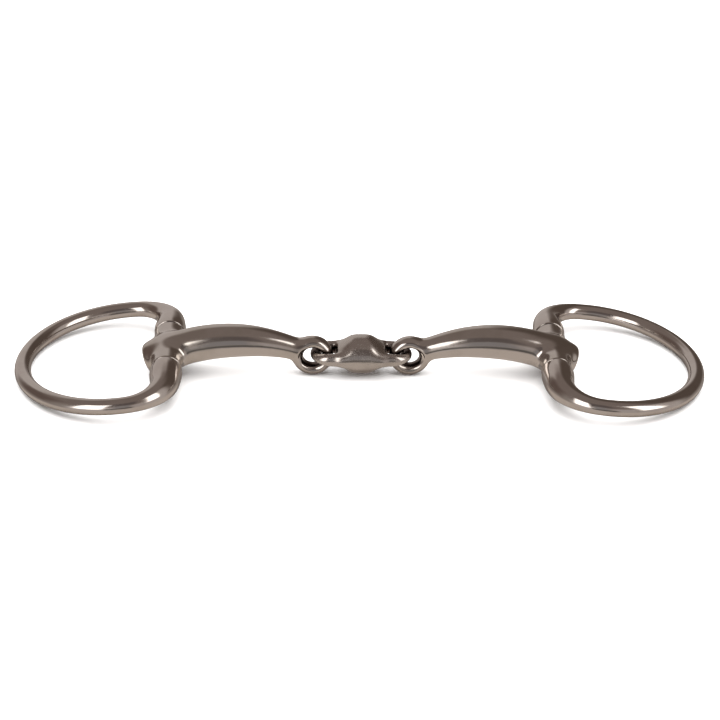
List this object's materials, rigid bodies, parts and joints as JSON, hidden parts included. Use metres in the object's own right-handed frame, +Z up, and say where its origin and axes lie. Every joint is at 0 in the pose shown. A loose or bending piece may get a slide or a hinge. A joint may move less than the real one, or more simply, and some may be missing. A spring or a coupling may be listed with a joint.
{
  "type": "snaffle bit",
  "caption": "Double-jointed eggbutt snaffle bit: egg-shaped cheek rings hinged to curved tapered arms, joined by a lozenge centre link.",
  "frame": {"origin": "centre of the bit on the surface it lies on, under the centre link", "axes": "+X along the mouthpiece to the right, +Y along the cheek hinge pins, +Z up"},
  "size_m": [0.26, 0.081, 0.0203],
  "materials": {
    "cheek_steel": "polished stainless steel",
    "mouthpiece_steel": "polished stainless steel",
    "link_steel": "polished stainless steel",
    "pin_steel": "ground and polished pin ends"
  },
  "bodies": {
    "link": {"centre_link": "link_steel"},
    "left_arm": {"left_cannon": "mouthpiece_steel"},
    "right_arm": {"right_cannon": "mouthpiece_steel"},
    "left_cheek": {"left_cheek_ring": "cheek_steel", "left_hinge_pin": "pin_steel"},
    "right_cheek": {"right_cheek_ring": "cheek_steel", "right_hinge_pin": "pin_steel"}
  },
  "joints": [
    {"name": "left_fold", "type": "hinge", "parent": "link", "child": "left_arm", "pos_m": [-0.0173, 0, 0.0085], "axis": [0, 1, 0], "range_deg": [-45, 45]},
    {"name": "right_fold", "type": "hinge", "parent": "link", "child": "right_arm", "pos_m": [0.0173, 0, 0.0085], "axis": [0, 1, 0], "range_deg": [-45, 45]},
    {"name": "left_cheek_swing", "type": "hinge", "parent": "left_arm", "child": "left_cheek", "pos_m": [-0.0725, 0, 0.00875], "axis": [0, 1, 0], "range_deg": [-155, 165]},
    {"name": "right_cheek_swing", "type": "hinge", "parent": "right_arm", "child": "right_cheek", "pos_m": [0.0725, 0, 0.00875], "axis": [0, 1, 0], "range_deg": [-165, 155]}
  ]
}
